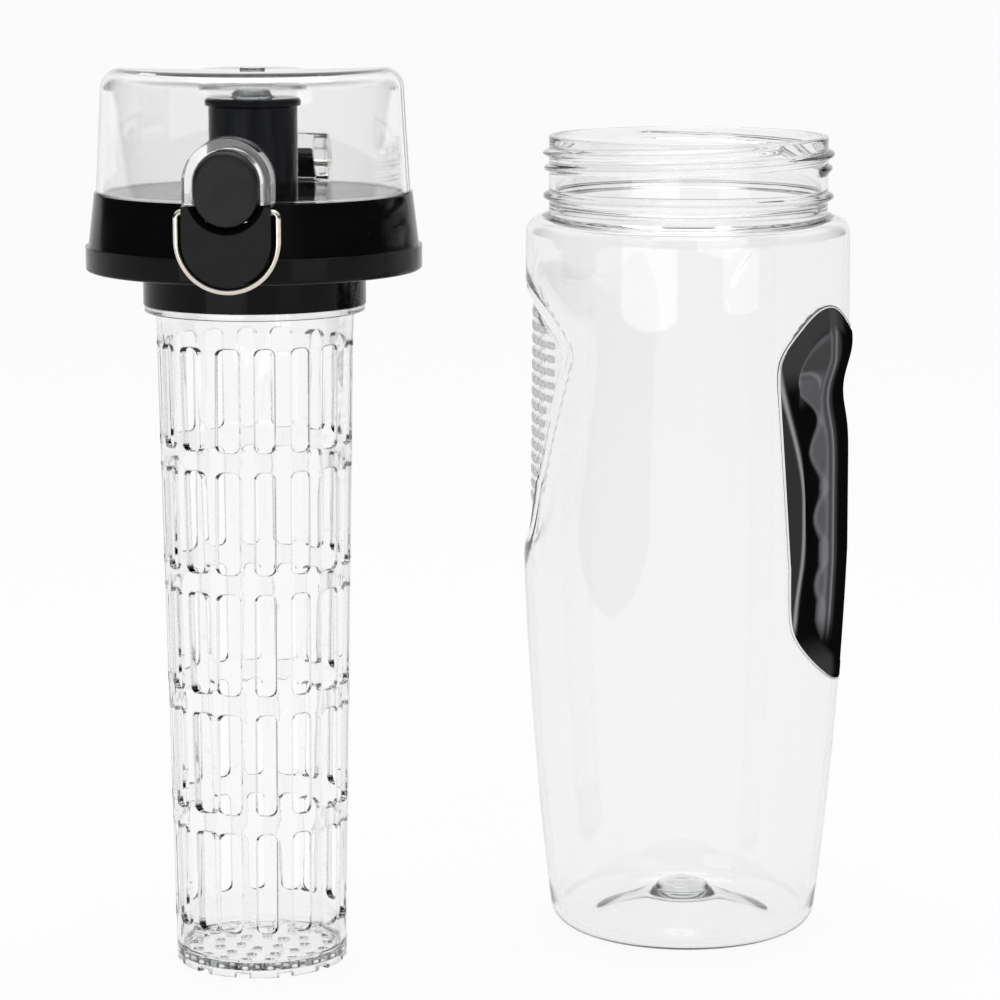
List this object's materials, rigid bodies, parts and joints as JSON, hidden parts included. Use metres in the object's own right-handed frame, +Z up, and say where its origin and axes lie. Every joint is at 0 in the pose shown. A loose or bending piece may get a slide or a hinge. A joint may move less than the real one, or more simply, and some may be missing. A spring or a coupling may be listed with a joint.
{
  "type": "fruit infuser water bottle",
  "caption": "Clear water bottle standing open beside its slotted fruit infuser basket, screw collar and flip-top lid with push button, spout and wire lock bail",
  "frame": {"origin": "centre of the bottle's standing ring, on the floor", "axes": "+Z up along the bottle axis, -Y towards the front of the lid, X across, with the infuser at -X"},
  "size_m": [0.2092, 0.1317, 0.2443],
  "materials": {
    "clear_bottle": "clear blow-moulded copolyester, polished",
    "clear_infuser": "clear injection-moulded copolyester, polished",
    "clear_cover": "clear injection-moulded copolyester, polished",
    "black_plastic": "injection-moulded black polypropylene, glossy",
    "black_rubber": "moulded black elastomer, satin",
    "black_silicone": "moulded black silicone, satin",
    "frosted_silicone": "moulded frosted silicone, translucent",
    "steel": "drawn stainless wire, bright"
  },
  "bodies": {
    "bottle": {"bottle_shell": "clear_bottle", "right_grip": "black_rubber"},
    "infuser": {"infuser_basket": "clear_infuser"},
    "collar_ring": {"collar_seal": "black_silicone"},
    "collar": {"collar": "black_plastic"},
    "lid": {"lid_base": "black_plastic", "lid_seal": "black_silicone", "spout": "black_plastic", "hinge_pin": "steel", "hinge_spring": "steel", "latch_pin": "steel", "latch_spring": "steel"},
    "cover": {"cover_dome": "clear_cover", "spout_seal": "frosted_silicone"},
    "button": {"latch_button": "black_plastic"},
    "bail": {"lock_bail": "steel"}
  },
  "joints": [
    {"name": "infuser_lift", "type": "slide", "parent": "bottle", "child": "infuser", "axis": [0, 0, 1], "range_m": [0, 0.22]},
    {"name": "collar_rise", "type": "slide", "parent": "infuser", "child": "collar_ring", "axis": [0, 0, 1], "range_m": [0, 0.0064]},
    {"name": "collar_turn", "type": "hinge", "parent": "collar_ring", "child": "collar", "pos_m": [-0.118, -0.036, 0.18155], "axis": [0, 0, 1], "range_deg": [0, 540]},
    {"name": "lid_lift", "type": "slide", "parent": "collar_ring", "child": "lid", "axis": [0, 0, 1], "range_m": [0, 0.06]},
    {"name": "cover_flip", "type": "hinge", "parent": "lid", "child": "cover", "pos_m": [-0.11434, 0.01046, 0.2159], "axis": [-0.9969, 0.0785, 0], "range_deg": [0, 110]},
    {"name": "button_press", "type": "hinge", "parent": "lid", "child": "button", "pos_m": [-0.12162, -0.08206, 0.2073], "axis": [-0.9969, 0.0785, 0], "range_deg": [0, 6], "stiffness_Nm_per_rad": 0.05, "springref_deg": -1.72},
    {"name": "bail_swing", "type": "hinge", "parent": "lid", "child": "bail", "pos_m": [-0.12169, -0.08285, 0.2097], "axis": [-0.9969, 0.0785, 0], "range_deg": [0, 180]}
  ],
  "couplings": [
    {"joint": "collar_rise", "follows": "collar_turn", "m_per_rad": 0.00066845}
  ]
}
